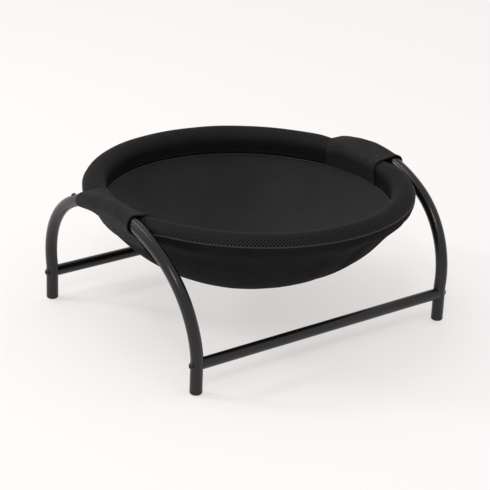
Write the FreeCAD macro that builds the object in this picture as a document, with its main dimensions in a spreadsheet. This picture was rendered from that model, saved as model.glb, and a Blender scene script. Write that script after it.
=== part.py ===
"""Round hammock pet bed: two bent-tube arches, two bars, a padded hoop and a hanging fabric bowl.

Frame: millimetres, +Z up. The origin is on the floor, midway between the four feet. The arches
stand at -X (left) and +X (right), each in a nearly upright plane along Y. The bars run along X.
The -Y side is the front.
"""
import FreeCAD, Part
import math
import os
import re
import Sketcher

V = FreeCAD.Vector
ORIGIN_POINT = (-1, 1)      # the sketch origin, as a Sketcher (geometry, point) pair
HORIZONTAL_AXIS = -1        # the sketch's own axes
VERTICAL_AXIS = -2
START, END, CENTRE = 1, 2, 3

doc = FreeCAD.newDocument("hammock_pet_bed")

# ------------------------------------------------------------------------------------------------
# Sizes. The first table holds the values that can be set, the second what follows from them.
# ------------------------------------------------------------------------------------------------
DRIVING = [
    # frame
    ("leg_span_x", 400, "between the left and the right leg axes, at the floor"),
    ("leg_span_y", 336, "between the front and the back leg axes"),
    ("arch_tube_diameter", 16, "outside of the arch tube"),
    ("arch_tube_wall", 1.2, "wall of the arch tube"),
    ("leg_straight_height", 44, "floor to the first bend"),
    ("arch_lean", 6, "degrees that the arch leans outwards above its straight legs"),
    ("lean_bend_radius", 60, "bend that turns the leg into the leaning plane"),
    ("shoulder_radius", 130, "bend between a leg and the crown"),
    ("shoulder_angle", 60, "degrees of that bend"),
    ("bar_diameter", 15, "outside of the front and back bars"),
    ("bar_wall", 1.2, "wall of the bars"),
    ("bar_height", 39, "floor to a bar's axis"),
    # bolted joints
    ("bolt_diameter", 5, "shank of the joint bolts"),
    ("bolt_length", 32, "shank length under the head"),
    ("bolt_head_diameter", 9.5, "domed head"),
    ("bolt_head_height", 2.75, "domed head"),
    ("bolt_socket_width", 3, "hexagon socket across flats"),
    ("bolt_socket_depth", 1.6, "hexagon socket"),
    ("bolt_hole_clearance", 0.4, "added to a bolt's or screw's diameter in the tube walls"),
    ("stop_screw_reach", 88, "crown to the screw that stops a wrap from sliding back"),
    ("stop_screw_diameter", 3.5, "shank of the stop screws"),
    ("stop_screw_length", 8, "shank length under the head"),
    ("stop_screw_head_diameter", 7, "domed head"),
    ("stop_screw_head_height", 2.2, "domed head"),
    ("stop_screw_socket_width", 2, "hexagon socket across flats"),
    ("stop_screw_socket_depth", 1.2, "hexagon socket"),
    ("thread_clearance", 0.1, "between the bolt and its insert, on diameter"),
    ("insert_length", 22, "threaded insert in a bar's end"),
    ("press_clearance", 0.1, "round an insert, plug or spigot, on diameter"),
    ("cope_clearance", 0.05, "between a bar's saddle end and the leg"),
    # foot caps
    ("cap_head_height", 5, "visible part of a foot cap"),
    ("cap_edge_radius", 3, "rounding under a foot cap"),
    ("cap_plug_length", 14, "part of a foot cap inside the leg"),
    # padded hoop
    ("hoop_tube_diameter", 10, "outside of the hoop tube"),
    ("hoop_tube_wall", 1, "wall of the hoop tube"),
    ("connector_angle", 12, "degrees of the hoop that a spigot covers"),
    ("foam_thickness", 4.4, "foam sleeve round the hoop"),
    ("cover_thickness", 1.1, "mesh cover of the rim"),
    ("fabric_gap", 0.3, "kept between neighbouring soft pieces"),
    ("rim_arch_clearance", 0.4, "between the rim and the arch crown"),
    ("rim_bearing_angle", 38, "degrees below level at which the rim bears on the crown"),
    ("cover_edge_angle", 25, "degrees below level at which the mesh cover ends, outside"),
    ("welt_angle", 32, "degrees below level of the outer welt"),
    ("welt_diameter", 1.4, "outer welt"),
    ("seam_drop", 22.5, "hoop axis down to the inner seam"),
    ("binding_diameter", 3, "folded binding on the inner seam"),
    # fabric bowl
    ("bag_edge_angle", 38, "degrees below level at which the bag starts"),
    ("bag_floor_gap", 56, "floor to the lowest point of the bag"),
    ("bag_bottom_radius", 290, "curve of the bag's bottom"),
    ("bag_turn_angle", 22, "degrees of the bottom curve before the side begins"),
    ("bag_thickness", 1.2, "outer bag"),
    ("wadding_thickness", 3, "wadding between bag and liner"),
    ("liner_thickness", 1.5, "inner liner"),
    # wraps that tie the rim to the arches
    ("wrap_thickness", 1.6, "wrap fabric"),
    ("wrap_front_reach", 50, "crown to the wrap's front edge"),
    ("wrap_back_reach", 80, "crown to the wrap's back edge"),
    ("wrap_edge_margin", 5, "a strip's end to the edge of its wrap"),
    ("strip_thickness", 1, "hook strip or loop strip"),
    ("strip_width", 14, "height of the strips on the bag"),
    ("strip_start_drop", 19, "hoop axis down to the top of the strips"),
]

DERIVED = [
    ("arch_radius", "arch_tube_diameter / 2"),
    ("arch_bore_radius", "arch_radius - arch_tube_wall"),
    ("bar_bore_radius", "bar_diameter / 2 - bar_wall"),
    ("lean_rise", "lean_bend_radius * sin(arch_lean)"),
    ("lean_shift", "lean_bend_radius * (1 - cos(arch_lean))"),
    ("shoulder_inset", "leg_span_y / 2 - shoulder_radius"),
    ("crown_radius", "shoulder_radius + shoulder_inset / cos(shoulder_angle)"),
    ("crown_rise", "crown_radius - shoulder_inset * tan(shoulder_angle)"),
    ("crown_x", "leg_span_x / 2 + lean_shift + crown_rise * sin(arch_lean)"),
    ("crown_z", "leg_straight_height + lean_rise + crown_rise * cos(arch_lean)"),
    ("stop_tilt", "asin(stop_screw_reach / crown_radius)"),
    ("stop_rise", "crown_rise - crown_radius * (1 - cos(stop_tilt))"),
    ("foam_bore_radius", "hoop_tube_diameter / 2 + fabric_gap"),
    ("foam_radius", "foam_bore_radius + foam_thickness"),
    ("cover_bore_radius", "foam_radius + fabric_gap"),
    ("rim_radius", "cover_bore_radius + cover_thickness"),
    ("bearing_distance", "arch_radius + rim_radius + rim_arch_clearance"),
    ("hoop_radius", "crown_x - bearing_distance * cos(rim_bearing_angle)"),
    ("hoop_height", "crown_z - bearing_distance * sin(rim_bearing_angle)"),
    ("bag_edge_x", "hoop_radius + rim_radius * cos(bag_edge_angle)"),
    ("bag_edge_z", "hoop_height - rim_radius * sin(bag_edge_angle)"),
    ("bag_turn_x", "bag_bottom_radius * sin(bag_turn_angle)"),
    ("bag_turn_z", "bag_floor_gap + bag_bottom_radius * (1 - cos(bag_turn_angle))"),
    ("bag_side_run", "bag_edge_x - bag_turn_x"),
    ("bag_side_rise", "bag_edge_z - bag_turn_z"),
    ("bag_side_chord", "bag_side_rise * cos(bag_turn_angle) - bag_side_run * sin(bag_turn_angle)"),
    ("bag_side_reach", "bag_side_run * bag_side_run + bag_side_rise * bag_side_rise"),
    ("bag_side_radius", "bag_side_reach / (2 * bag_side_chord)"),
    ("bag_centre_z", "bag_floor_gap + bag_bottom_radius"),
    ("side_centre_x", "bag_turn_x - bag_side_radius * sin(bag_turn_angle)"),
    ("side_centre_z", "bag_turn_z + bag_side_radius * cos(bag_turn_angle)"),
    ("wadding_inset", "bag_thickness + fabric_gap"),
    ("liner_inset", "wadding_inset + wadding_thickness + fabric_gap"),
    ("bowl_inset", "liner_inset + liner_thickness"),
    ("seam_z", "hoop_height - seam_drop"),
    ("seam_depth", "side_centre_z - seam_z"),
    ("bowl_side_radius", "bag_side_radius - bowl_inset"),
    ("seam_x", "side_centre_x + sqrt(bowl_side_radius * bowl_side_radius - seam_depth * seam_depth)"),
    ("liner_top_z", "seam_z - binding_diameter - 2 * fabric_gap"),
    ("wrap_inset", "2 * strip_thickness + 2 * fabric_gap"),
]

sheet = doc.addObject("Spreadsheet::Sheet", "Sizes")
row = 0
for alias, number, note in DRIVING:
    row += 1
    sheet.set(f"A{row}", note)
    sheet.set(f"B{row}", str(number))
    sheet.setAlias(f"B{row}", alias)
for alias, formula in DERIVED:
    row += 1
    sheet.set(f"A{row}", "follows from the values above")
    sheet.set(f"B{row}", "=" + formula)
    sheet.setAlias(f"B{row}", alias)
doc.recompute()


def size(alias):
    """The value of a sheet cell, as a number."""
    value = sheet.get(alias)
    return float(getattr(value, "Value", value))


ALIASES = {name for name, *rest in DRIVING + DERIVED}


def bound(formula):
    """The formula with every alias written as a reference to the sheet."""
    return re.sub(r"[a-z_]+", lambda word: ("Sizes." if word[0] in ALIASES else "") + word[0], formula)


def value_of(formula):
    """The number that a formula of aliases gives now."""
    value = sheet.evalExpression(bound(formula))
    return float(getattr(value, "Value", value))


# ------------------------------------------------------------------------------------------------
# Small helpers for bodies and sketches
# ------------------------------------------------------------------------------------------------
nodes = []


def new_node(kind, label):
    """A sub-part of the given FreeCAD type, whose label names its file."""
    node = doc.addObject(kind, label)
    node.Label = label
    nodes.append(node)
    return node


def place(node, turn=FreeCAD.Rotation(), x="0", y="0", z="0"):
    """Turn a node and bind its place to formulas of the sheet."""
    node.Placement = FreeCAD.Placement(V(value_of(x), value_of(y), value_of(z)), turn)
    for axis, formula in (("x", x), ("y", y), ("z", z)):
        node.setExpression("Placement.Base." + axis, bound(formula))


def sketch_on(body, name, role):
    """An empty sketch on one of the body's own origin planes."""
    plane = next(feature for feature in body.Origin.OriginFeatures if feature.Role == role)
    sketch = body.newObject("Sketcher::SketchObject", name)
    sketch.AttachmentSupport = [(plane, "")]
    sketch.MapMode = "FlatFace"
    return sketch


def dimension(sketch, kind, elements, formula):
    """A sketch dimension bound to a formula of the sheet."""
    index = sketch.addConstraint(Sketcher.Constraint(kind, *elements, value_of(formula)))
    sketch.setExpression(f"Constraints[{index}]", bound(formula))


def at(sketch, geometry, point, x, y):
    """Fix a point of a sketch at the formulas x and y from the sketch origin."""
    dimension(sketch, "DistanceX", (*ORIGIN_POINT, geometry, point), x)
    dimension(sketch, "DistanceY", (*ORIGIN_POINT, geometry, point), y)


def circle(sketch, x, y, radius):
    """A circle placed and sized by formulas."""
    centre = V(value_of(x), value_of(y), 0)
    number = sketch.addGeometry(Part.Circle(centre, V(0, 0, 1), value_of(radius)), False)
    if x == "0":
        sketch.addConstraint(Sketcher.Constraint("PointOnObject", number, CENTRE, VERTICAL_AXIS))
    else:
        dimension(sketch, "DistanceX", (*ORIGIN_POINT, number, CENTRE), x)
    if y == "0":
        sketch.addConstraint(Sketcher.Constraint("PointOnObject", number, CENTRE, HORIZONTAL_AXIS))
    else:
        dimension(sketch, "DistanceY", (*ORIGIN_POINT, number, CENTRE), y)
    dimension(sketch, "Radius", (number,), radius)
    return number


def polygon(sketch, corners):
    """A closed outline of straight lines whose corners are pairs of formulas."""
    points = [V(value_of(x), value_of(y), 0) for x, y in corners]
    lines = [sketch.addGeometry(Part.LineSegment(start, end), False)
             for start, end in zip(points, points[1:] + points[:1])]
    for line, following in zip(lines, lines[1:] + lines[:1]):
        sketch.addConstraint(Sketcher.Constraint("Coincident", line, END, following, START))
    for line, (x, y) in zip(lines, corners):
        if x == "0":
            sketch.addConstraint(Sketcher.Constraint("PointOnObject", line, START, VERTICAL_AXIS))
        else:
            dimension(sketch, "DistanceX", (*ORIGIN_POINT, line, START), x)
        if y == "0":
            sketch.addConstraint(Sketcher.Constraint("PointOnObject", line, START, HORIZONTAL_AXIS))
        else:
            dimension(sketch, "DistanceY", (*ORIGIN_POINT, line, START), y)
    return lines


def arc(centre, radius, start, end):
    """An arc for a sketch, anticlockwise from the point start to the point end."""
    turn = [math.atan2(point.y - centre.y, point.x - centre.x) for point in (start, end)]
    return Part.ArcOfCircle(Part.Circle(centre, V(0, 0, 1), radius), *turn)


def revolve(body, sketch, degrees="360", midplane=False, backwards=False):
    """Turn a sketch about its vertical axis."""
    feature = body.newObject("PartDesign::Revolution", sketch.Name + "_turned")
    feature.Profile = sketch
    feature.ReferenceAxis = (sketch, ["V_Axis"])
    feature.Midplane = midplane
    feature.Reversed = backwards
    feature.Angle = value_of(degrees)
    feature.setExpression("Angle", bound(degrees))
    return feature


def cut_through(body, sketch):
    """Cut a sketch right through the body, to both sides."""
    feature = body.newObject("PartDesign::Pocket", sketch.Name + "_cut")
    feature.Profile = sketch
    feature.Type = "ThroughAll"
    feature.Midplane = True
    return feature


# ------------------------------------------------------------------------------------------------
# Arches: one bent tube each, from foot to foot
# ------------------------------------------------------------------------------------------------
def arch_point(side, along_y, rise):
    """A point in the leaning plane, rise above the plane's first bend, on the given side."""
    lean = math.radians(size("arch_lean"))
    x = size("leg_span_x") / 2 + size("lean_shift") + rise * math.sin(lean)
    z = size("leg_straight_height") + size("lean_rise") + rise * math.cos(lean)
    return V(side * x, along_y, z)


def crown_point(side, along_y):
    """A point of the crown's arc, on the tube's axis."""
    rise = math.sqrt(size("crown_radius") ** 2 - along_y ** 2) - size("crown_radius") + size("crown_rise")
    return arch_point(side, along_y, rise)


def leg_edges(side, end):
    """Axis of one leg: straight, bent into the leaning plane, then round the shoulder."""
    x, y = side * size("leg_span_x") / 2, end * size("leg_span_y") / 2
    foot = V(x, y, size("cap_head_height"))
    straight_top = V(x, y, size("leg_straight_height"))
    half_lean = math.radians(size("arch_lean") / 2)
    bend = size("lean_bend_radius")
    bend_middle = straight_top + V(side * bend * (1 - math.cos(half_lean)), 0, bend * math.sin(half_lean))
    bend_end = arch_point(side, y, 0)
    shoulder = size("shoulder_radius")
    turn = math.radians(size("shoulder_angle"))
    inset = size("shoulder_inset")
    middle = arch_point(side, end * (inset + shoulder * math.cos(turn / 2)), shoulder * math.sin(turn / 2))
    top = arch_point(side, end * (inset + shoulder * math.cos(turn)), shoulder * math.sin(turn))
    return [Part.LineSegment(foot, straight_top).toShape(),
            Part.Arc(straight_top, bend_middle, bend_end).toShape(),
            Part.Arc(bend_end, middle, top).toShape()], top


def arch_path(side):
    """Axis of a whole arch, front foot to back foot."""
    front, front_top = leg_edges(side, -1)
    back, back_top = leg_edges(side, 1)
    crown = Part.Arc(front_top, crown_point(side, 0), back_top).toShape()
    return Part.Wire(front + [crown] + back[::-1])


def swept_tube(name, path, side, radius):
    """A round bar of the given radius along an arch's axis."""
    section = doc.addObject("Part::Circle", name + "_section")
    section.Radius = value_of(radius)
    section.setExpression("Radius", bound(radius))
    section.Placement.Base = path.Shape.Vertexes[0].Point
    tube = doc.addObject("Part::Sweep", name)
    tube.Sections = [section]
    tube.Spine = (path, [f"Edge{number + 1}" for number in range(len(path.Shape.Edges))])
    tube.Solid = True
    return tube


def stop_direction(side):
    """The way that a stop screw's head points: out of the crown's arc, in the leaning plane."""
    tilt, lean = math.radians(size("stop_tilt")), math.radians(size("arch_lean"))
    return V(side * math.cos(tilt) * math.sin(lean), math.sin(tilt), math.cos(tilt) * math.cos(lean))


def stop_point(side, lift):
    """Formulas of the point that lies lift above the tube's axis at a stop screw."""
    rise = f"( stop_rise + {lift} * cos( stop_tilt ) )"
    return (f"{side} * ( leg_span_x / 2 + lean_shift + {rise} * sin( arch_lean ) )",
            f"stop_screw_reach + {lift} * sin( stop_tilt )",
            f"leg_straight_height + lean_rise + {rise} * cos( arch_lean )")


def build_arch(label, side):
    """A bent tube with a bolt hole through each leg and a screw hole in its top."""
    path = doc.addObject("Part::Feature", label + "_axis")
    path.Shape = arch_path(side)
    outside = swept_tube(label + "_outside", path, side, "arch_radius")
    bore = swept_tube(label + "_bore", path, side, "arch_bore_radius")
    hollow = doc.addObject("Part::Cut", label + "_hollow")
    hollow.Base, hollow.Tool = outside, bore
    holes = []
    for end in (-1, 1):
        hole = doc.addObject("Part::Cylinder", f"{label}_hole_{'front' if end < 0 else 'back'}")
        hole.setExpression("Radius", bound("( bolt_diameter + bolt_hole_clearance ) / 2"))
        hole.setExpression("Height", bound("2 * arch_tube_diameter"))
        place(hole, FreeCAD.Rotation(V(0, 1, 0), 90), f"{side} * leg_span_x / 2 - arch_tube_diameter",
              f"{end} * leg_span_y / 2", "bar_height")
        holes.append(hole)
    tapped = doc.addObject("Part::Cylinder", label + "_tapped")
    tapped.setExpression("Radius", bound("( stop_screw_diameter + bolt_hole_clearance ) / 2"))
    tapped.setExpression("Height", bound("arch_tube_diameter"))
    place(tapped, FreeCAD.Rotation(V(0, 0, 1), stop_direction(side)), *stop_point(side, "0"))
    holes.append(tapped)
    drilled = doc.addObject("Part::MultiFuse", label + "_holes")
    drilled.Shapes = holes
    arch = new_node("Part::Cut", label)
    arch.Base, arch.Tool = hollow, drilled


build_arch("left_arch_tube", -1)
build_arch("right_arch_tube", 1)


# ------------------------------------------------------------------------------------------------
# Bars, with saddle ends that fit round the legs, and their threaded inserts
# ------------------------------------------------------------------------------------------------
def build_bar(label, end):
    body = new_node("PartDesign::Body", label)
    ring = sketch_on(body, label + "_ring", "YZ_Plane")
    circle(ring, "0", "0", "bar_diameter / 2")
    circle(ring, "0", "0", "bar_bore_radius")
    tube = body.newObject("PartDesign::Pad", label + "_tube")
    tube.Profile = ring
    tube.Midplane = True
    tube.setExpression("Length", bound("leg_span_x"))
    saddles = sketch_on(body, label + "_saddles", "XY_Plane")
    for side in ("-1", "1"):
        circle(saddles, side + " * leg_span_x / 2", "0", "arch_radius + cope_clearance")
    cut_through(body, saddles)
    place(body, y=f"{end} * leg_span_y / 2", z="bar_height")


build_bar("front_bar_tube", -1)
build_bar("back_bar_tube", 1)


def build_insert(label, side, end):
    """A threaded plug: its axis is local Z, its origin is on the leg's axis."""
    body = new_node("PartDesign::Body", label)
    profile = sketch_on(body, label + "_profile", "XZ_Plane")
    inside = "( bolt_diameter + thread_clearance ) / 2"
    outside = "bar_bore_radius - press_clearance / 2"
    depth = "arch_radius + insert_length"
    polygon(profile, [(inside, "0"), (outside, "0"), (outside, depth), (inside, depth)])
    revolve(body, profile)
    saddle = sketch_on(body, label + "_saddle", "XZ_Plane")
    circle(saddle, "0", "0", "arch_radius + cope_clearance")
    cut_through(body, saddle)
    inwards = FreeCAD.Rotation(V(0, 0, 1), V(-side, 0, 0)).multiply(FreeCAD.Rotation(V(0, 0, 1), 90))
    place(body, inwards, f"{side} * leg_span_x / 2", f"{end} * leg_span_y / 2", "bar_height")


def build_bolt(label, kind, direction, x, y, z):
    """A domed socket bolt: local Z points out of the head, its origin is under the head."""
    body = new_node("PartDesign::Body", label)
    profile = sketch_on(body, label + "_profile", "XZ_Plane")
    shank, head = size(kind + "_diameter") / 2, size(kind + "_head_diameter") / 2
    height, length = size(kind + "_head_height"), size(kind + "_length")
    dome = (head ** 2 + height ** 2) / (2 * height)
    dome_centre = V(0, height - dome, 0)
    points = [V(0, height, 0), V(0, -length, 0), V(shank, -length, 0), V(shank, 0, 0), V(head, 0, 0)]
    lines = [profile.addGeometry(Part.LineSegment(a, b), False) for a, b in zip(points, points[1:])]
    crown = profile.addGeometry(arc(dome_centre, dome, points[-1], points[0]), False)
    for line, following in zip(lines, lines[1:]):
        profile.addConstraint(Sketcher.Constraint("Coincident", line, END, following, START))
    profile.addConstraint(Sketcher.Constraint("Coincident", lines[-1], END, crown, START))
    profile.addConstraint(Sketcher.Constraint("Coincident", crown, END, lines[0], START))
    for line, point in ((lines[0], START), (lines[0], END), (crown, CENTRE)):
        profile.addConstraint(Sketcher.Constraint("PointOnObject", line, point, VERTICAL_AXIS))
    profile.addConstraint(Sketcher.Constraint("Horizontal", lines[1]))
    profile.addConstraint(Sketcher.Constraint("Vertical", lines[2]))
    for point in (START, END):
        profile.addConstraint(Sketcher.Constraint("PointOnObject", lines[3], point, HORIZONTAL_AXIS))
    dimension(profile, "DistanceY", (*ORIGIN_POINT, crown, END), kind + "_head_height")
    dimension(profile, "DistanceY", (lines[0], END, *ORIGIN_POINT), kind + "_length")
    dimension(profile, "DistanceX", (*ORIGIN_POINT, lines[3], START), kind + "_diameter / 2")
    dimension(profile, "DistanceX", (*ORIGIN_POINT, lines[3], END), kind + "_head_diameter / 2")
    revolve(body, profile)
    socket = sketch_on(body, label + "_socket", "XY_Plane")
    corner = kind + "_socket_width / sqrt(3)"
    corners = [(f"{corner} * cos({60 * step + 30})", f"{corner} * sin({60 * step + 30})")
               for step in range(6)]
    polygon(socket, [("0" if step in (1, 4) else across, up) for step, (across, up) in enumerate(corners)])
    socket.setExpression("AttachmentOffset.Base.z", bound(kind + "_head_height"))
    recess = body.newObject("PartDesign::Pocket", label + "_recess")
    recess.Profile = socket
    recess.setExpression("Length", bound(kind + "_socket_depth"))
    place(body, FreeCAD.Rotation(V(0, 0, 1), direction), x, y, z)


def build_foot_cap(label, side, end):
    """A plastic cap: a rounded head under the leg and a plug inside it."""
    body = new_node("PartDesign::Body", label)
    profile = sketch_on(body, label + "_profile", "XZ_Plane")
    plug, top = "arch_bore_radius - press_clearance / 2", "cap_head_height + cap_plug_length"
    polygon(profile, [("0", "0"), ("arch_radius", "0"), ("arch_radius", "cap_head_height"),
                      (plug, "cap_head_height"), (plug, top), ("0", top)])
    solid = revolve(body, profile)
    doc.recompute()
    bottom = next(number for number, edge in enumerate(solid.Shape.Edges, 1)
                  if abs(edge.BoundBox.ZMax) < 1e-6 and edge.BoundBox.XMax > size("arch_radius") - 1e-3)
    rounding = body.newObject("PartDesign::Fillet", label + "_rounding")
    rounding.Base = (solid, [f"Edge{bottom}"])
    rounding.setExpression("Radius", bound("cap_edge_radius"))
    place(body, x=f"{side} * leg_span_x / 2", y=f"{end} * leg_span_y / 2")


CORNERS = [("front_left", -1, -1), ("front_right", 1, -1), ("back_left", -1, 1), ("back_right", 1, 1)]
for corner_name, side, end in CORNERS:
    build_insert(f"bar_insert_{corner_name}", side, end)
    build_bolt(f"joint_bolt_{corner_name}", "bolt", V(side, 0, 0),
               f"{side} * ( leg_span_x / 2 + arch_radius )", f"{end} * leg_span_y / 2", "bar_height")
    build_foot_cap(f"foot_cap_{corner_name}", side, end)


for side_name, side in (("left", -1), ("right", 1)):
    build_bolt(f"wrap_stop_screw_{side_name}", "stop_screw", stop_direction(side),
               *stop_point(side, "arch_radius"))


# ------------------------------------------------------------------------------------------------
# Padded hoop: two half hoops on spigots, a foam sleeve, the mesh cover, the welt and the binding
# ------------------------------------------------------------------------------------------------
def build_ring(label, radii, x="hoop_radius", z="hoop_height", degrees="360", **turned):
    """A ring about the Z axis whose section is one circle, or the space between two."""
    body = new_node("PartDesign::Body", label)
    section = sketch_on(body, label + "_section", "XZ_Plane")
    for radius in radii:
        circle(section, x, z, radius)
    revolve(body, section, degrees, **turned)
    return body


hoop_wall = ("hoop_tube_diameter / 2", "hoop_tube_diameter / 2 - hoop_tube_wall")
build_ring("hoop_front_half", hoop_wall, degrees="180", backwards=True)
build_ring("hoop_back_half", hoop_wall, degrees="180")
spigot = ("hoop_tube_diameter / 2 - hoop_tube_wall - press_clearance / 2",)
for label, half_turn in (("hoop_connector_right", 0), ("hoop_connector_left", 180)):
    connector = build_ring(label, spigot, degrees="connector_angle", midplane=True)
    connector.Placement.Rotation = FreeCAD.Rotation(V(0, 0, 1), half_turn)
build_ring("rim_foam", ("foam_radius", "foam_bore_radius"))
build_ring("rim_outer_welt", ("welt_diameter / 2",),
           x="hoop_radius + ( cover_bore_radius + welt_diameter / 2 ) * cos( welt_angle )",
           z="hoop_height - ( cover_bore_radius + welt_diameter / 2 ) * sin( welt_angle )")
build_ring("rim_inner_binding", ("binding_diameter / 2",),
           x="seam_x - fabric_gap", z="seam_z - fabric_gap - binding_diameter / 2")


def shared_normal(first, first_radius, second, second_radius):
    """Unit normal, to the left of travel, of the line that touches two circles, both of
    whose centres lie on the right of travel. A point is a circle of radius 0."""
    distance = first.distanceToPoint(second)
    along = (second - first) * (1 / distance)
    cosine = (first_radius - second_radius) / distance
    return along * cosine + V(-along.y, along.x, 0) * math.sqrt(1 - cosine ** 2)


def build_rim_cover():
    """The mesh strip over the foam: round the rim, then straight down to the inner seam."""
    body = new_node("PartDesign::Body", "rim_mesh_cover")
    section = sketch_on(body, "rim_mesh_cover_section", "XZ_Plane")
    centre = V(size("hoop_radius"), size("hoop_height"), 0)
    seam = V(size("seam_x"), size("seam_z"), 0)
    edge_angle = math.radians(size("cover_edge_angle"))
    edge_direction = V(math.cos(edge_angle), -math.sin(edge_angle), 0)
    normal = shared_normal(seam, 0, centre, size("rim_radius"))
    radii = {"outer": "rim_radius", "inner": "cover_bore_radius"}
    arcs, skirts = {}, {}
    for face, formula in radii.items():
        radius = size(formula)
        touch = centre + normal * radius
        arcs[face] = section.addGeometry(arc(centre, radius, centre + edge_direction * radius, touch), False)
        foot = seam - normal * (size("rim_radius") - radius)
        skirts[face] = section.addGeometry(Part.LineSegment(touch, foot), False)
        at(section, arcs[face], CENTRE, "hoop_radius", "hoop_height")
        dimension(section, "Radius", (arcs[face],), formula)
        dimension(section, "DistanceY", (arcs[face], START, arcs[face], CENTRE),
                  f"{formula} * sin( cover_edge_angle )")
        section.addConstraint(Sketcher.Constraint("Tangent", arcs[face], END, skirts[face], START))
    at(section, skirts["outer"], END, "seam_x", "seam_z")
    points = [centre + edge_direction * size(radii[face]) for face in ("inner", "outer")]
    edge = section.addGeometry(Part.LineSegment(*points), False)
    hem = section.addGeometry(Part.LineSegment(seam, seam - normal * size("cover_thickness")), False)
    section.addConstraint(Sketcher.Constraint("Coincident", edge, START, arcs["inner"], START))
    section.addConstraint(Sketcher.Constraint("Coincident", edge, END, arcs["outer"], START))
    section.addConstraint(Sketcher.Constraint("Coincident", hem, START, skirts["outer"], END))
    section.addConstraint(Sketcher.Constraint("Coincident", hem, END, skirts["inner"], END))
    section.addConstraint(Sketcher.Constraint("Perpendicular", hem, skirts["outer"]))
    section.addConstraint(Sketcher.Constraint("Parallel", skirts["inner"], skirts["outer"]))
    revolve(body, section)


build_rim_cover()


# ------------------------------------------------------------------------------------------------
# Fabric bowl: three layers on the same two curves
# ------------------------------------------------------------------------------------------------
def side_point(radius, z):
    """The point at height z on a circle about the centre of the bowl's side curve."""
    depth = size("side_centre_z") - z
    return V(size("side_centre_x") + math.sqrt(radius ** 2 - depth ** 2), z, 0)


def build_bowl_layer(label, inset, thickness, top):
    """A bowl-shaped shell, inset from the outside of the bag, up to the height top."""
    body = new_node("PartDesign::Body", label)
    section = sketch_on(body, label + "_section", "XZ_Plane")
    turn = math.radians(size("bag_turn_angle"))
    bottom_centre = V(0, size("bag_centre_z"), 0)
    side_centre = V(size("side_centre_x"), size("side_centre_z"), 0)
    faces = []
    for depth in (inset, f"{inset} + {thickness}"):
        bottom_radius = size("bag_bottom_radius") - value_of(depth)
        side_radius = size("bag_side_radius") - value_of(depth)
        turn_point = bottom_centre + V(math.sin(turn), -math.cos(turn), 0) * bottom_radius
        lowest = bottom_centre - V(0, bottom_radius, 0)
        bottom = section.addGeometry(arc(bottom_centre, bottom_radius, lowest, turn_point), False)
        wall_top = side_point(side_radius, value_of(top))
        wall = section.addGeometry(arc(side_centre, side_radius, turn_point, wall_top), False)
        section.addConstraint(Sketcher.Constraint("PointOnObject", bottom, CENTRE, VERTICAL_AXIS))
        section.addConstraint(Sketcher.Constraint("PointOnObject", bottom, START, VERTICAL_AXIS))
        section.addConstraint(Sketcher.Constraint("Tangent", bottom, END, wall, START))
        dimension(section, "DistanceY", (*ORIGIN_POINT, bottom, CENTRE), "bag_centre_z")
        dimension(section, "Radius", (bottom,), f"bag_bottom_radius - ( {depth} )")
        dimension(section, "DistanceX", (*ORIGIN_POINT, bottom, END),
                  f"( bag_bottom_radius - ( {depth} ) ) * sin( bag_turn_angle )")
        dimension(section, "Radius", (wall,), f"bag_side_radius - ( {depth} )")
        dimension(section, "DistanceY", (*ORIGIN_POINT, wall, END), top)
        faces.append((bottom, wall, lowest, wall_top))
    outer_bottom, outer_wall, outer_low, outer_top = faces[0]
    inner_bottom, inner_wall, inner_low, inner_top = faces[1]
    rim = section.addGeometry(Part.LineSegment(outer_top, inner_top), False)
    axis = section.addGeometry(Part.LineSegment(inner_low, outer_low), False)
    section.addConstraint(Sketcher.Constraint("Coincident", rim, START, outer_wall, END))
    section.addConstraint(Sketcher.Constraint("Coincident", rim, END, inner_wall, END))
    section.addConstraint(Sketcher.Constraint("Coincident", axis, START, inner_bottom, START))
    section.addConstraint(Sketcher.Constraint("Coincident", axis, END, outer_bottom, START))
    revolve(body, section)


build_bowl_layer("outer_bag", "0", "bag_thickness", "bag_edge_z")
build_bowl_layer("bowl_wadding", "wadding_inset", "wadding_thickness", "liner_top_z")
build_bowl_layer("bowl_liner", "liner_inset", "liner_thickness", "liner_top_z")


# ------------------------------------------------------------------------------------------------
# Wraps: a fabric strip from the inner seam, over the rim and the crown, and back to the bag
# ------------------------------------------------------------------------------------------------
def section_radius(along_y):
    """Half width of the arch tube where an upright plane through the Z axis cuts it."""
    step = 0.5
    direction = (crown_point(1, along_y + step) - crown_point(1, along_y - step)).normalize()
    point = crown_point(1, along_y)
    across = V(-point.y, point.x, 0).normalize()
    return size("arch_radius") / abs(direction.dot(across))


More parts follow.
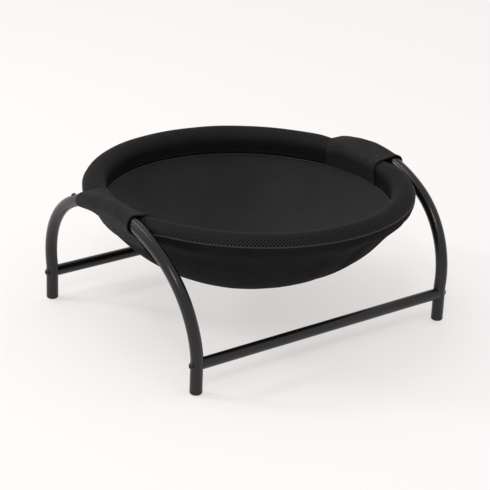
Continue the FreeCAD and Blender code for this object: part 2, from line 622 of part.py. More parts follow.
def wrap_face(along_y, offset):
    """Edges of one face of a wrap's section, in radius and height, at a distance outside what
    it covers. They are a line, then the rim, a line, the tube, a line and the strips on the bag."""
    tube = crown_point(1, along_y)
    rim_centre = V(size("hoop_radius"), size("hoop_height"), 0)
    tube_centre = V(math.hypot(tube.x, tube.y), tube.z, 0)
    rim = size("rim_radius") + offset
    arch = section_radius(along_y) + offset
    bag = size("bag_side_radius") + size("wrap_inset") + offset
    seam = V(size("seam_x"), size("seam_z"), 0)
    strip_top = side_point(bag, size("hoop_height") - size("strip_start_drop"))
    strip_foot = side_point(bag, size("hoop_height") - size("strip_start_drop") - size("strip_width"))
    seam_normal = shared_normal(seam, 0, rim_centre, size("rim_radius"))
    top_normal = shared_normal(rim_centre, rim, tube_centre, arch)
    under_normal = shared_normal(tube_centre, arch, strip_top, 0)
    start = seam + seam_normal * offset
    rim_in, rim_out = rim_centre + seam_normal * rim, rim_centre + top_normal * rim
    tube_in, tube_out = tube_centre + top_normal * arch, tube_centre + under_normal * arch

    def middle(centre, radius, first, last):
        """The point halfway round a circle, clockwise from first to last."""
        begin, finish = (math.atan2(point.y - centre.y, point.x - centre.x) for point in (first, last))
        halfway = (begin + finish - (2 * math.pi if finish > begin else 0)) / 2
        return centre + V(math.cos(halfway), math.sin(halfway), 0) * radius

    bag_centre = V(size("side_centre_x"), size("side_centre_z"), 0)
    return [(start, rim_in),
            (rim_in, middle(rim_centre, rim, rim_in, rim_out), rim_out),
            (rim_out, tube_in),
            (tube_in, middle(tube_centre, arch, tube_in, tube_out), tube_out),
            (tube_out, strip_top),
            (strip_top, middle(bag_centre, bag, strip_top, strip_foot), strip_foot)]


def wrap_section(side, along_y):
    """Closed outline of a wrap in the upright plane through the Z axis at the given place."""
    tube = crown_point(1, along_y)
    azimuth = math.atan2(tube.y, tube.x)
    inside = wrap_face(along_y, size("fabric_gap"))
    outside = wrap_face(along_y, size("fabric_gap") + size("wrap_thickness"))

    def in_space(point):
        return V(side * point.x * math.cos(azimuth), point.x * math.sin(azimuth), point.y)

    def edge(points):
        placed = [in_space(point) for point in points]
        curve = Part.Arc(*placed) if len(placed) == 3 else Part.LineSegment(*placed)
        return curve.toShape()

    back = [points[::-1] for points in outside[::-1]]
    hem = (inside[-1][-1], outside[-1][-1])
    start = (outside[0][0], inside[0][0])
    return Part.Wire([edge(points) for points in inside + [hem] + back + [start]])


WRAP_SECTIONS = 7


def build_wrap(label, side):
    """A loft through upright sections, evenly spaced from the front edge to the back edge."""
    front, back = -size("wrap_front_reach"), size("wrap_back_reach")
    places = [front + (back - front) * step / (WRAP_SECTIONS - 1) for step in range(WRAP_SECTIONS)]
    wrap = new_node("Part::Feature", label)
    wrap.Shape = Part.makeLoft([wrap_section(side, place_y) for place_y in places], True, False)


build_wrap("left_wrap", -1)
build_wrap("right_wrap", 1)


def build_strip(label, side, inset):
    """A fastening strip that follows the bag's side below a wrap."""
    body = new_node("PartDesign::Body", label)
    section = sketch_on(body, label + "_section", "XZ_Plane")
    top = "hoop_height - strip_start_drop"
    foot = top + " - strip_width"
    centre = V(size("side_centre_x"), size("side_centre_z"), 0)
    walls = []
    for depth in (inset, f"{inset} + strip_thickness"):
        radius = size("bag_side_radius") + value_of(depth)
        low, high = side_point(radius, value_of(foot)), side_point(radius, value_of(top))
        wall = section.addGeometry(arc(centre, radius, low, high), False)
        at(section, wall, CENTRE, "side_centre_x", "side_centre_z")
        dimension(section, "Radius", (wall,), f"bag_side_radius + {depth}")
        dimension(section, "DistanceY", (*ORIGIN_POINT, wall, START), foot)
        dimension(section, "DistanceY", (*ORIGIN_POINT, wall, END), top)
        walls.append((wall, low, high))
    (inner, inner_low, inner_high), (outer, outer_low, outer_high) = walls
    head = section.addGeometry(Part.LineSegment(inner_high, outer_high), False)
    base = section.addGeometry(Part.LineSegment(inner_low, outer_low), False)
    section.addConstraint(Sketcher.Constraint("Coincident", head, START, inner, END))
    section.addConstraint(Sketcher.Constraint("Coincident", head, END, outer, END))
    section.addConstraint(Sketcher.Constraint("Coincident", base, START, inner, START))
    section.addConstraint(Sketcher.Constraint("Coincident", base, END, outer, START))
    front = "atan( ( wrap_front_reach - wrap_edge_margin ) / crown_x )"
    back = "atan( ( wrap_back_reach - wrap_edge_margin ) / crown_x )"
    revolve(body, section, front + " + " + back, midplane=True)
    middle = math.radians(value_of(back) - value_of(front)) / 2
    azimuth = middle if side > 0 else math.pi - middle
    body.Placement.Rotation = FreeCAD.Rotation(V(0, 0, 1), math.degrees(azimuth))


for side_name, side in (("left", -1), ("right", 1)):
    build_strip(f"{side_name}_loop_strip", side, "fabric_gap")
    build_strip(f"{side_name}_hook_strip", side, "fabric_gap + strip_thickness + fabric_gap / 2")


# ------------------------------------------------------------------------------------------------
# Check every object, then write one file for each sub-part
# ------------------------------------------------------------------------------------------------
doc.recompute()
failed = [item.Name for item in doc.Objects if "Invalid" in item.State or "Error" in item.State]
failed += [node.Label for node in nodes if node.Shape.isNull() or not node.Shape.isValid()]
if failed:
    raise RuntimeError("these did not build: " + ", ".join(failed))

os.makedirs("parts", exist_ok=True)
for node in nodes:
    node.Shape.exportStep(f"parts/{node.Label}.step")
    print(f"{node.Label:28s} {len(node.Shape.Solids)} solid  {node.Shape.Volume:12.1f} mm3")
print(len(nodes), "nodes")
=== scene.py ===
"""Looks of a round padded dog bed that hangs in a frame of two tube arches and two bars.

Lengths are in metres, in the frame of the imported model: Z up, the floor at Z = 0, the front
towards -Y. Each operator makes one piece, or one group of like pieces, in its final place.
"""

import math

import bmesh
import bpy
import numpy as np
from bpy.props import FloatProperty, FloatVectorProperty, PointerProperty
from mathutils import Matrix, Vector


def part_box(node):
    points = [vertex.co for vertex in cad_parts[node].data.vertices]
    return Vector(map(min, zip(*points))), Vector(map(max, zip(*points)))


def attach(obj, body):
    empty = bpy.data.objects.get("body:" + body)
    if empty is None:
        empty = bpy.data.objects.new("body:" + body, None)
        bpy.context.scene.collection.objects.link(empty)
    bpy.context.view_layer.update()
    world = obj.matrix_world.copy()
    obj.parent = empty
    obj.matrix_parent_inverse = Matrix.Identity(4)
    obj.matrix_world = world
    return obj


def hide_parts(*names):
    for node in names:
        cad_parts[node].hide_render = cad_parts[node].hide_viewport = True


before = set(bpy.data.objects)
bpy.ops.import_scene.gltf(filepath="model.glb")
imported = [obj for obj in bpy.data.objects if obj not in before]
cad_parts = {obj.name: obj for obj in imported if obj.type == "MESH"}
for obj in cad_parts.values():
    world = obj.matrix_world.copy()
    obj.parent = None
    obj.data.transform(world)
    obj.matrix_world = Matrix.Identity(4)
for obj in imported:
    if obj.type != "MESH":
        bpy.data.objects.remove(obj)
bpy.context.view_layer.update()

bl_info = {
    "name": "Framed Round Dog Bed",
    "version": (1, 0, 0),
    "blender": (4, 5, 0),
    "location": "3D View > Sidebar > Dog Bed",
    "description": "Builds the fabric, the padding, the finishes and the stage of a framed dog bed",
    "category": "Add Mesh",
}

TURN = 2 * math.pi
SIDES = {"left": -1, "right": 1}


# ------------------------------------------------------------------------------------------------
# Measures that come from the frame
# ------------------------------------------------------------------------------------------------
def ring_of(node):
    """Radius, height and section radius of a round ring about the Z axis, from its box."""
    low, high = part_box(node)
    section = (high.z - low.z) / 2
    return high.x - section, (high.z + low.z) / 2, section


HOOP_RADIUS, HOOP_HEIGHT, _ = ring_of("rim_foam")
RIM_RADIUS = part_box("rim_mesh_cover")[1].z - HOOP_HEIGHT
SEAM_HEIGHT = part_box("rim_mesh_cover")[0].z
BINDING_RADIUS, BINDING_HEIGHT, BINDING_SECTION = ring_of("rim_inner_binding")
PIPING_SECTION = ring_of("rim_outer_welt")[2]
BAG_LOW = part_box("outer_bag")[0].z
BAG_EDGE = (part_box("outer_bag")[1].x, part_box("outer_bag")[1].z)
LINER_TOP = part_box("bowl_liner")[1].z
TUBE_RADIUS = (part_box("foot_cap_front_left")[1].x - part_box("foot_cap_front_left")[0].x) / 2
LEG_X = (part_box("foot_cap_front_right")[1].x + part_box("foot_cap_front_right")[0].x) / 2
STRIP_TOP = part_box("left_loop_strip")[1].z
STRIP_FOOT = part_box("left_loop_strip")[0].z
FABRIC_GAP = 0.0003
SEAM_ALLOWANCE = math.radians(1.5)      # mesh and bag each stop this far from the outer seam
SEAM_RADIUS = BINDING_RADIUS + FABRIC_GAP


def length_property(label, words, default):
    """A length in metres, shown in full."""
    return FloatProperty(name=label, description=words, default=default, min=0, unit="LENGTH",
                         precision=5)


def angle_property(label, words, degrees):
    """An angle, given in degrees."""
    return FloatProperty(name=label, description=words, default=math.radians(degrees),
                         subtype="ANGLE")


def colour_property(label, words, default):
    """A plain linear colour."""
    return FloatVectorProperty(name=label, description=words, default=default, size=3, min=0,
                               max=1, subtype="COLOR")


class DogBedSizes(bpy.types.PropertyGroup):
    """Sizes of the fabric pieces that the frame's boxes do not give."""

    bag_bottom_radius: length_property("Bag bottom radius", "Curve of the bag's bottom", 0.290)
    bag_turn_angle: angle_property("Bag turn", "Bottom curve before the side begins", 22)
    held_drop: length_property("Held height", "Hoop down to where the bag hangs free", 0.030)
    bag_cloth: length_property("Bag cloth", "Thickness of the bag's cloth", 0.0012)
    bag_sag: length_property("Bag ripple", "Height of the slack ripples in the bag", 0.0009)
    bag_crease: length_property("Bag crease", "Height of the pulled creases under the rim", 0.0036)
    pad_depth: length_property("Pad depth", "Wadding and liner together", 0.0048)
    pad_inset: length_property("Pad inset", "Outside of the bag to the pad", 0.0015)
    pad_ripple: length_property("Pad ripple", "Soft unevenness of the pad", 0.0007)
    mesh_pitch: length_property("Mesh pitch", "Diagonal of one diamond in the mesh", 0.0044)
    mesh_dimple: length_property("Mesh dimple", "Depth of a hole in the mesh", 0.0008)
    mesh_cloth: length_property("Mesh cloth", "Thickness of the mesh fabric", 0.0010)
    seam_near: angle_property("Outer seam at an arch", "Below level, where mesh meets bag", 32)
    seam_away: angle_property("Outer seam away", "Below level, where mesh meets bag", -12)
    squash_start: angle_property("Squashed rim", "From an arch, where the rim starts to swell", 8)
    squash_end: angle_property("Free rim", "From an arch, where the rim is fully round", 26)
    rim_outward: length_property("Rim outward", "Free rim, moved out from the hoop", 0.0036)
    rim_drop: length_property("Rim drop", "Free rim, moved down from the hoop", 0.0014)
    rim_swell: length_property("Rim swell", "Free rim, added to its section radius", 0.0044)
    crown_radius: length_property("Crown radius", "Curve of the top of an arch", 0.206)
    crown_rise: length_property("Crown rise", "Lean bend to the top, along the arch", 0.1402)
    lean_height: length_property("Lean height", "Floor to the end of the lean bend", 0.05027)
    lean_shift: length_property("Lean shift", "Sideways shift of the lean bend", 0.00033)
    arch_lean: angle_property("Arch lean", "The arch leans outwards", 6)
    wrap_front: length_property("Wrap front", "Crown to a wrap's front edge", 0.0475)
    wrap_back: length_property("Wrap back", "Crown to a wrap's back edge", 0.067)
    wrap_cloth: length_property("Wrap cloth", "Thickness of a wrap", 0.0015)
    wrap_hem: length_property("Wrap hem", "Folded hem at both edges of a wrap", 0.0055)
    wrap_mouth: length_property("Wrap mouth", "How far a wrap's edge stands off the tube", 0.0015)
    wrap_inset: length_property("Wrap inset", "Bag to a wrap, over the strips", 0.0026)
    stitch_pitch: length_property("Stitch pitch", "From one stitch to the next", 0.0034)
    stitch_length: length_property("Stitch length", "Thread that shows", 0.0025)
    stitch_width: length_property("Stitch width", "Thickness of the thread", 0.0006)


class DogBedColours(bpy.types.PropertyGroup):
    """Colours of the cloths and finishes."""

    bag: colour_property("Bag", "Smooth woven bag", (0.0088, 0.0088, 0.0088))
    liner: colour_property("Liner", "Soft brushed liner", (0.0165, 0.0165, 0.0165))
    mesh: colour_property("Mesh", "Yarn of the mesh", (0.0275, 0.0275, 0.0270))
    # Mesh hole colour: the foam seen through each hole, made much darker with painted shade of the
    # hole's depth.
    mesh_hole_shade: colour_property("Mesh hole", "Foam seen through the mesh", (0.0006, 0.0006, 0.0006))
    wrap: colour_property("Wrap", "Plain weave of the wraps", (0.0185, 0.0185, 0.0180))
    trim: colour_property("Trim", "Binding, piping and thread", (0.0260, 0.0260, 0.0255))
    tape: colour_property("Fastening tape", "Hook and loop strips", (0.008, 0.008, 0.008))
    coat: colour_property("Tube coat", "Powder coat of the tubes", (0.0050, 0.0050, 0.0048))
    steel: colour_property("Steel", "Inside parts", (0.42, 0.42, 0.43))
    floor: colour_property("Floor", "Plain pale floor", (0.42, 0.405, 0.402))


# ------------------------------------------------------------------------------------------------
# Mesh helpers
# ------------------------------------------------------------------------------------------------
def grid_quads(rows, columns, wrap_rows=False, wrap_columns=False):
    """Quads of a grid of rows by columns points, numbered row by row. A wrapped direction joins
    its last line of points to its first."""
    row = np.arange(rows if wrap_rows else rows - 1)[:, None]
    column = np.arange(columns if wrap_columns else columns - 1)[None, :]
    next_row, next_column = (row + 1) % rows, (column + 1) % columns
    corners = (row * columns + column, next_row * columns + column,
               next_row * columns + next_column, row * columns + next_column)
    return np.stack(corners, axis=-1).reshape(-1, 4)


def net_triangles(rows, columns, wrap_rows=False, wrap_columns=False):
    """The quads of a grid, each cut in two along the line between its two corners whose row and
    column add up to an even number, so that these lines form a diagonal net."""
    quads = grid_quads(rows, columns, wrap_rows, wrap_columns)
    odd = (quads[:, 0] // columns + quads[:, 0] % columns) % 2 == 1
    quads[odd] = np.roll(quads[odd], 1, axis=1)
    return np.concatenate([quads[:, [0, 1, 2]], quads[:, [0, 2, 3]]])


def new_piece(name, points, faces, material, uv=None, masks=None, sharp=40):
    """A smooth mesh object from an array of points and arrays of faces, outside facing out.
    uv has one row per point, in metres, and masks are named numbers, one per point."""
    mesh = bpy.data.meshes.new(name)
    points = np.asarray(points, float).reshape(-1, 3)
    mesh.from_pydata(points, [], [face for group in faces for face in group.tolist()])
    for mask_name, values in (masks or {}).items():
        layer = mesh.attributes.new(mask_name, "FLOAT", "POINT")
        layer.data.foreach_set("value", np.asarray(values, np.float32).ravel())
    shell = bmesh.new()
    shell.from_mesh(mesh)
    bmesh.ops.recalc_face_normals(shell, faces=shell.faces)
    shell.to_mesh(mesh)
    shell.free()
    if uv is not None:
        corner_points = np.empty(len(mesh.loops), int)
        mesh.loops.foreach_get("vertex_index", corner_points)
        layer = mesh.uv_layers.new(name="cut")
        layer.data.foreach_set("uv", np.asarray(uv, np.float32).reshape(-1, 2)[corner_points].ravel())
    mesh.shade_smooth()
    mesh.set_sharp_from_angle(angle=math.radians(sharp))
    mesh.materials.append(material)
    piece = bpy.data.objects.new(name, mesh)
    bpy.context.scene.collection.objects.link(piece)
    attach(piece, "root")
    return piece


def closed_sheet(name, outside, inside, material, **details):
    """A cloth with an outer and an inner face, each a grid of the same shape, closed along all
    four edges. details may hold uv, given once and used for both faces."""
    rows, columns = outside.shape[:2]
    count = rows * columns
    face = grid_quads(rows, columns)
    numbers = np.arange(count).reshape(rows, columns)
    border = np.concatenate([numbers[0], numbers[1:, -1], numbers[-1, -2::-1], numbers[-2:0:-1, 0]])
    onward = np.roll(border, -1)
    edge = np.stack([border, onward, onward + count, border + count], axis=-1)
    points = np.concatenate([outside.reshape(-1, 3), inside.reshape(-1, 3)])
    if "uv" in details:
        details["uv"] = np.concatenate([details["uv"].reshape(-1, 2)] * 2)
    return new_piece(name, points, [face, face[:, ::-1] + count, edge], material, **details)


def round_shell(name, outside, inside, material, **details):
    """A bowl with an outer and an inner face. Each is a grid of rows from the pole to the edge
    and columns round the Z axis. The first row stands for the pole and is drawn to one point."""
    columns = outside.shape[1]
    loop = np.concatenate([outside[1:], inside[:0:-1]])
    loop_rows = len(loop)
    poles = np.array([outside[0].mean(axis=0), inside[0].mean(axis=0)])
    column = np.arange(columns)
    onward = (column + 1) % columns
    last = (loop_rows - 1) * columns
    low_pole = np.stack([np.full(columns, loop_rows * columns), column, onward], axis=-1)
    high_pole = np.stack([np.full(columns, loop_rows * columns + 1), last + onward, last + column],
                         axis=-1)
    quads = grid_quads(loop_rows, columns, wrap_columns=True)
    if "uv" in details:
        cut = details["uv"]
        details["uv"] = np.concatenate([cut[1:].reshape(-1, 2), cut[:0:-1].reshape(-1, 2),
                                        cut[0, :1], cut[0, :1]])
    points = np.concatenate([loop.reshape(-1, 3), poles])
    return new_piece(name, points, [quads, low_pole, high_pole], material, **details)


def round_loop(name, radius, height, turns, material, make_faces=grid_quads, **details):
    """A closed profile carried round the Z axis. radius and height have one row per profile
    point, and one column per angle in turns or one column for all of them."""
    profile = carried_round(radius, height, turns)
    faces = make_faces(*profile.shape[:2], wrap_rows=True, wrap_columns=True)
    return new_piece(name, profile, [faces], material, **details)


def carried_round(radius, height, turns):
    """Points at the radius and height of a side view, at each angle about the Z axis."""
    return np.stack([radius * np.cos(turns), radius * np.sin(turns), height + 0 * turns], axis=-1)


def unit(vectors):
    """The vectors, each divided by its length."""
    return vectors / np.linalg.norm(vectors, axis=-1, keepdims=True)


STITCH_RINGS, STITCH_SIDES = 3, 6
STITCH_POINTS = STITCH_RINGS * STITCH_SIDES + 2


def stitch_row(name, centres, along, up, sizes, material):
    """Short threads in a row. Each is a ball drawn out along its line of sewing: a ring of six
    points at three places between two tips, half as wide as the thread is."""
    bend = np.array([0.25, 0.5, 0.75])[:, None] * math.pi
    around = np.arange(STITCH_SIDES)[None, :] / STITCH_SIDES * TURN
    reach = np.broadcast_to(np.cos(bend), (STITCH_RINGS, STITCH_SIDES)).ravel()
    across, lift = (np.sin(bend) * np.cos(around)).ravel(), (np.sin(bend) * np.sin(around)).ravel()
    reach = np.concatenate([reach, [1, -1]]) * sizes.stitch_length / 2
    across = np.concatenate([across, [0, 0]]) * sizes.stitch_width / 2
    lift = np.concatenate([lift, [0, 0]]) * sizes.stitch_width / 2
    side = unit(np.cross(up, along))
    points = (centres[:, None] + reach[:, None] * along[:, None] + across[:, None] * side[:, None]
              + lift[:, None] * up[:, None])
    rings = grid_quads(STITCH_RINGS, STITCH_SIDES, wrap_columns=True)
    first = np.arange(STITCH_SIDES)
    onward = (first + 1) % STITCH_SIDES
    last_ring = (STITCH_RINGS - 1) * STITCH_SIDES
    tip = np.full(STITCH_SIDES, STITCH_POINTS - 2)
    tips = np.concatenate([np.stack([tip, first, onward], axis=-1),
                           np.stack([tip + 1, last_ring + onward, last_ring + first], axis=-1)])
    shift = (np.arange(len(centres)) * STITCH_POINTS)[:, None, None]
    faces = [(rings + shift).reshape(-1, 4), (tips + shift).reshape(-1, 3)]
    return new_piece(name, points, faces, material)


# ------------------------------------------------------------------------------------------------
# Curves of the bed, as radius and height in an upright plane through the Z axis
# ------------------------------------------------------------------------------------------------
def tangent_normal(first, first_radius, second, second_radius):
    """Unit normal, to the left of travel, of the line that touches two circles, both of whose
    centres lie on the right of travel. A point is a circle of radius 0."""
    gap = second - first
    distance = np.linalg.norm(gap, axis=-1, keepdims=True)
    along = gap / distance
    left = np.stack([-along[..., 1], along[..., 0]], axis=-1)
    cosine = np.reshape(first_radius - second_radius, (-1, 1)) / distance
    return along * cosine + left * np.sqrt(1 - cosine ** 2)


def straight(first, last, count):
    """Points on a line from first to last, the last one left out."""
    share = np.arange(count)[None, :, None] / count
    return first[:, None] * (1 - share) + last[:, None] * share


def clockwise(centre, radius, first, last, count):
    """Points on a circle, clockwise from the direction first to last, the last one left out."""
    begin = np.arctan2(first[..., 1], first[..., 0])
    finish = np.arctan2(last[..., 1], last[..., 0])
    finish = finish - np.where(finish > begin, TURN, 0)
    angle = begin[:, None] + (finish - begin)[:, None] * np.arange(count)[None, :] / count
    spoke = np.stack([np.cos(angle), np.sin(angle)], axis=-1)
    return centre[:, None] + spoke * np.reshape(radius, (-1, 1, 1))


def evenly(points, count):
    """The same line of points, one line per row, spaced evenly along its length."""
    step = np.linalg.norm(np.diff(points, axis=1), axis=-1)
    reach = np.concatenate([np.zeros((len(points), 1)), np.cumsum(step, axis=1)], axis=1)
    share = np.linspace(0, 1, count)
    rows = [[np.interp(share * reach[i, -1], reach[i], points[i, :, k]) for k in range(2)]
            for i in range(len(points))]
    return np.moveaxis(np.array(rows), 1, -1), reach[:, -1]


class BagCurve:
    """Side view of the bag: a wide arc from the pole, then a tighter one up to the edge. The
    side arc goes on in the bottom arc's direction and ends at the bag's edge."""

    def __init__(self, sizes):
        self.turn = sizes.bag_turn_angle
        self.bottom_radius = sizes.bag_bottom_radius
        turn_x = self.bottom_radius * math.sin(self.turn)
        turn_z = BAG_LOW + self.bottom_radius * (1 - math.cos(self.turn))
        run, rise = BAG_EDGE[0] - turn_x, BAG_EDGE[1] - turn_z
        chord = rise * math.cos(self.turn) - run * math.sin(self.turn)
        self.side_radius = (run ** 2 + rise ** 2) / (2 * chord)
        self.bottom_centre = BAG_LOW + self.bottom_radius
        self.side_centre = np.array([turn_x - self.side_radius * math.sin(self.turn),
                                     turn_z + self.side_radius * math.cos(self.turn)])

    def side_point(self, inset, height):
        """Point of the side arc, moved in by inset, at the given height."""
        radius = self.side_radius - inset
        depth = height - self.side_centre[1]
        return np.array([self.side_centre[0] + math.sqrt(radius ** 2 - depth ** 2), height])

    def rows(self, inset, top, count):
        """Radius, height, outward normal and length from the pole of evenly spaced points."""
        bottom, side = self.bottom_radius - inset, self.side_radius - inset
        end = math.asin((top - self.side_centre[1]) / side) + math.pi / 2
        bottom_length = bottom * self.turn
        length = np.linspace(0, bottom_length + side * (end - self.turn), count)
        on_bottom = length <= bottom_length
        angle = np.where(on_bottom, length / bottom, self.turn + (length - bottom_length) / side)
        radius = np.where(on_bottom, bottom * np.sin(angle),
                          self.side_centre[0] + side * np.sin(angle))
        height = np.where(on_bottom, self.bottom_centre - bottom * np.cos(angle),
                          self.side_centre[1] - side * np.cos(angle))
        normal = np.stack([np.sin(angle), -np.cos(angle)], axis=-1)
        return radius, height, normal, length


def bowl_face(curve, inset, top, angles, rows, bulge):
    """A face of the bowl. Its side view is carried round the Z axis, and each point is moved
    out along the side view's normal by bulge, a function of length share and angle."""
    radius, height, normal, length = curve.rows(inset, top, rows)
    share = (length / length[-1])[:, None]
    move = bulge(share, angles[None, :])
    flat = radius[:, None] + normal[:, :1] * move
    points = carried_round(flat, height[:, None] + normal[:, 1:] * move, angles)
    cut = np.stack([length[:, None] * np.cos(angles), length[:, None] * np.sin(angles)], axis=-1)
    return points, cut


def arch_crown(sizes, along_y):
    """Radius and height of the arch's axis at each place along Y, its azimuth, and half the
    width of the tube where an upright plane through the Z axis cuts it."""
    drop = np.sqrt(sizes.crown_radius ** 2 - along_y ** 2)
    rise = drop - sizes.crown_radius + sizes.crown_rise
    lean_x, lean_z = math.sin(sizes.arch_lean), math.cos(sizes.arch_lean)
    x = LEG_X + sizes.lean_shift + rise * lean_x
    slope = -along_y / drop
    direction = unit(np.stack([slope * lean_x, np.ones_like(slope), slope * lean_z], axis=-1))
    across = unit(np.stack([-along_y, x, 0 * x], axis=-1))
    width = TUBE_RADIUS / np.abs((direction * across).sum(axis=-1))
    centre = np.stack([np.hypot(x, along_y), sizes.lean_height + rise * lean_z], axis=-1)
    return centre, np.arctan2(along_y, x), width


def wrap_lines(sizes, curve, along_y, offset, tube_offset, count):
    """Side views of a wrap, one per place along Y: a line up from the inner seam, the rim, a
    line, the tube, a line, and the strips on the bag. They are evenly spaced points."""
    tube, azimuth, width = arch_crown(sizes, along_y)
    ones = np.ones((len(along_y), 1))
    rim, rim_radius = rim_section(sizes, azimuth)
    seam = np.array([[SEAM_RADIUS, SEAM_HEIGHT]]) * ones
    rim_reach = rim_radius + offset
    tube_reach = width + tube_offset
    out = -(sizes.wrap_inset + float(np.mean(offset)))
    strip_top = curve.side_point(out, STRIP_TOP)[None] * ones
    strip_foot = curve.side_point(out, STRIP_FOOT - 0.0006)[None] * ones
    flat = np.zeros(len(along_y))
    seam_normal = tangent_normal(seam, flat, rim, rim_radius)
    top_normal = tangent_normal(rim, rim_reach, tube, tube_reach)
    under_normal = tangent_normal(tube, tube_reach, strip_top, flat)
    reach = rim_reach[:, None]
    lines = [
        straight(seam + seam_normal * offset, rim + seam_normal * reach, 8),
        clockwise(rim, rim_reach, seam_normal, top_normal, 24),
        straight(rim + top_normal * reach, tube + top_normal * tube_reach[:, None], 8),
        clockwise(tube, tube_reach, top_normal, under_normal, 24),
        straight(tube + under_normal * tube_reach[:, None], strip_top, 12),
        straight(strip_top, strip_foot, 8),
        strip_foot[:, None],
    ]
    points, length = evenly(np.concatenate(lines, axis=1), count)
    return points, length, azimuth


def free_rim(sizes, azimuth):
    """How far the foam is from being squashed by an arch: 0 beside the arch and 1 away from it,
    eased between two angles with a smooth step."""
    off = np.abs((azimuth + math.pi / 2) % math.pi - math.pi / 2)
    share = np.clip((off - sizes.squash_start) / (sizes.squash_end - sizes.squash_start), 0, 1)
    return share * share * (3 - 2 * share)


def rim_section(sizes, azimuth):
    """Centre and section radius of the padded rim at each azimuth. Away from the arches the
    foam is free, so the section is larger and hangs a little outwards and down."""
    free = free_rim(sizes, azimuth)
    centre = np.stack([HOOP_RADIUS + sizes.rim_outward * free,
                       HOOP_HEIGHT - sizes.rim_drop * free], axis=-1)
    return centre, RIM_RADIUS + sizes.rim_swell * free


def outer_seam(sizes, azimuth, shift=0.0):
    """Direction from the rim's centre to where its mesh meets the bag."""
    free = free_rim(sizes, azimuth)
    angle = shift - sizes.seam_near - (sizes.seam_away - sizes.seam_near) * free
    return np.stack([np.cos(angle), np.sin(angle)], axis=-1)


# ------------------------------------------------------------------------------------------------
# Materials
# ------------------------------------------------------------------------------------------------
def add_node(tree, kind, inputs=None, **settings):
    """A node with its settings, and its inputs set to a value or joined to another's output."""
    node = tree.nodes.new(kind)
    for key, value in settings.items():
        setattr(node, key, value)
    for key, value in (inputs or {}).items():
        if isinstance(value, bpy.types.NodeSocket):
            tree.links.new(value, node.inputs[key])
        else:
            node.inputs[key].default_value = value
    return node


def math_node(tree, operation, first, second=0.0):
    """The result of one sum on two numbers or outputs."""
    return add_node(tree, "ShaderNodeMath", {0: first, 1: second}, operation=operation).outputs[0]


def new_material(name, finish):
    """A material with a Principled shader whose plain sockets are set by finish."""
    material = bpy.data.materials.new(name)
    material.use_nodes = True
    tree = material.node_tree
    tree.nodes.clear()
    shader = add_node(tree, "ShaderNodeBsdfPrincipled", finish)
    add_node(tree, "ShaderNodeOutputMaterial", {"Surface": shader.outputs[0]})
    return material, tree, shader


def noise(tree, scale, detail=2.0):
    """Fine or broad grain on the object's own coordinates, from 0 to 1."""
    place = add_node(tree, "ShaderNodeTexCoord").outputs["Object"]
    inputs = {"Vector": place, "Scale": scale, "Detail": detail}
    return add_node(tree, "ShaderNodeTexNoise", inputs).outputs["Fac"]


def shade(tree, factor, colour, low, high):
    """The colour times a number that goes from low to high with the factor."""
    dark = tuple(min(1, part * low) for part in colour) + (1,)
    light = tuple(min(1, part * high) for part in colour) + (1,)
    mix = add_node(tree, "ShaderNodeMix", {0: factor, 6: dark, 7: light}, data_type="RGBA")
    return mix.outputs[2]


def add_bump(tree, shader, height, strength, depth):
    """Lets a height stand out from the surface by up to depth."""
    inputs = {"Height": height, "Strength": strength, "Distance": depth}
    bump = add_node(tree, "ShaderNodeBump", inputs)
    tree.links.new(bump.outputs["Normal"], shader.inputs["Normal"])


def uneven_gloss(tree, shader, factor, low, high):
    """Roughness that goes from low to high with the factor."""
    gloss = add_node(tree, "ShaderNodeMapRange", {0: factor, 3: low, 4: high}).outputs[0]
    tree.links.new(gloss, shader.inputs["Roughness"])


def woven_cloth(name, colour, pitch, roughness, gloss, relief, speckle):
    """Plain weave: the product of two sine waves along the cut's two directions lifts each
    crossing of the yarns, with fibre grain over it and slow changes of tone."""
    finish = {"Roughness": roughness, "Specular IOR Level": gloss}
    material, tree, shader = new_material(name, finish)
    cut = add_node(tree, "ShaderNodeUVMap", uv_map="cut").outputs["UV"]
    parts = add_node(tree, "ShaderNodeSeparateXYZ", {0: cut})
    waves = [math_node(tree, "SINE", math_node(tree, "MULTIPLY", parts.outputs[k], TURN / pitch))
             for k in (0, 1)]
    weave = math_node(tree, "MULTIPLY", *waves)
    fibre = noise(tree, 900.0)
    height = math_node(tree, "ADD", weave, math_node(tree, "MULTIPLY", fibre, 0.8))
    uneven = math_node(tree, "ADD", noise(tree, 22.0, 4.0),
                       math_node(tree, "MULTIPLY", math_node(tree, "SUBTRACT", fibre, 0.5), speckle))
    tone = math_node(tree, "ADD", math_node(tree, "MULTIPLY", weave, 0.25), uneven)
    tree.links.new(shade(tree, tone, colour, 0.50, 1.50), shader.inputs["Base Color"])
    add_bump(tree, shader, height, relief, 0.0003)
    return material


def mesh_cloth(name, colour, hole_shade_colour):
    """Knitted mesh. The mask hole goes from 0 at a knot to 1 at the middle of a hole, and only
    its upper part is dark, so that each hole is a small diamond between lighter yarns. The
    dark is the foam seen through the hole with painted shade of the hole's depth over it."""
    finish = {"Roughness": 0.6, "Specular IOR Level": 0.08}
    material, tree, shader = new_material(name, finish)
    mask = add_node(tree, "ShaderNodeAttribute", attribute_name="hole").outputs["Fac"]
    edge = add_node(tree, "ShaderNodeMapRange", {0: mask, 1: 0.16, 2: 0.30}).outputs[0]
    yarn = shade(tree, noise(tree, 18.0, 3.0), colour, 0.8, 1.2)
    # The hole colour is the foam seen through it plus painted shade in the hole.
    inputs = {0: edge, 6: yarn, 7: (*hole_shade_colour, 1)}
    mix = add_node(tree, "ShaderNodeMix", inputs, data_type="RGBA")
    tree.links.new(mix.outputs[2], shader.inputs["Base Color"])
    add_bump(tree, shader, noise(tree, 1400.0), 0.35, 0.0002)
    return material


